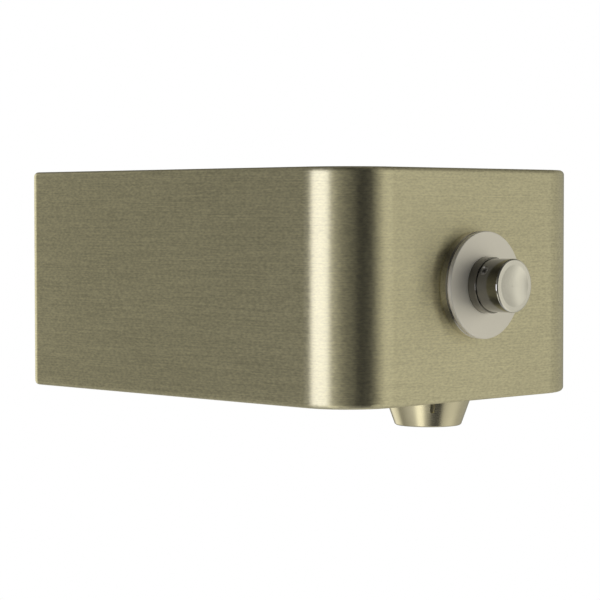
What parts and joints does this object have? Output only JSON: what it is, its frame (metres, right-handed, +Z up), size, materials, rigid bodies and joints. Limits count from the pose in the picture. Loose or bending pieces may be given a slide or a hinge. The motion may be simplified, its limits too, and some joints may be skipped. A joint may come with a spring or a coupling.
{
  "type": "bottle filling station",
  "caption": "Wall-mounted bottle filler: a folded steel shroud on a wall bracket, with a push-button metering valve on its front and a downward nozzle.",
  "frame": {"origin": "centre of the four wall bolts, on the back face of the wall bracket", "axes": "+Y out of the back into the wall, +Z up, +X to the right of someone who faces the button"},
  "size_m": [0.178, 0.263, 0.1276],
  "materials": {
    "brushed_steel": "horizontally brushed, warm",
    "chrome": "polished",
    "button_chrome": "polished, with a softly turned face",
    "satin_chrome": "satin face, polished rim",
    "valve_chrome": "chrome-plated brass, polished sleeve",
    "satin_nickel": "nickel-plated brass, turned",
    "brass": "turned",
    "copper": "drawn copper tube",
    "zinc_steel": "zinc plated",
    "screw_steel": "machined",
    "turned_steel": "turned",
    "spring_steel": "drawn wire",
    "rubber": "moulded",
    "fibre_gasket": "pressed fibre",
    "nylon": "moulded"
  },
  "bodies": {
    "housing": {"shroud": "brushed_steel", "plate_tabs": "brushed_steel", "bottom_plate": "brushed_steel", "bottom_screws": "screw_steel", "wall_bracket": "zinc_steel", "cover_screws": "screw_steel", "valve_body": "valve_chrome", "valve_gasket": "fibre_gasket", "escutcheon_base": "chrome", "escutcheon_ring": "satin_chrome", "stem_guide": "nylon", "stem_oring": "rubber", "return_spring": "spring_steel", "poppet_spring": "spring_steel", "end_plug": "brass", "plug_seal": "fibre_gasket", "nozzle": "satin_nickel", "nozzle_gasket": "rubber", "nozzle_washer": "zinc_steel", "nozzle_nut": "brass", "flow_straightener": "nylon", "straightener_ring": "turned_steel", "outlet_tube": "copper", "supply_tube": "copper", "compression_nuts": "brass", "ferrules": "brass", "stop_body": "brass", "stop_tail": "brass", "stop_seats": "nylon", "stop_gland": "brass", "stop_oring": "rubber", "stop_screws": "screw_steel", "inlet_strainer": "turned_steel"},
    "button": {"button_cap": "button_chrome", "cap_set_screw": "screw_steel", "stem": "turned_steel", "poppet_washer": "rubber"},
    "stop": {"stop_ball": "chrome", "stop_stem": "turned_steel"}
  },
  "joints": [
    {"name": "button_press", "type": "slide", "parent": "housing", "child": "button", "axis": [0, 1, 0], "range_m": [0, 0.005], "stiffness_N_per_m": 900, "springref_m": -0.006, "deforming": ["return_spring", "poppet_spring"]},
    {"name": "stop_turn", "type": "hinge", "parent": "housing", "child": "stop", "pos_m": [-0.0462, -0.032, 0], "axis": [0, 0, 1], "range_deg": [0, 90]}
  ]
}
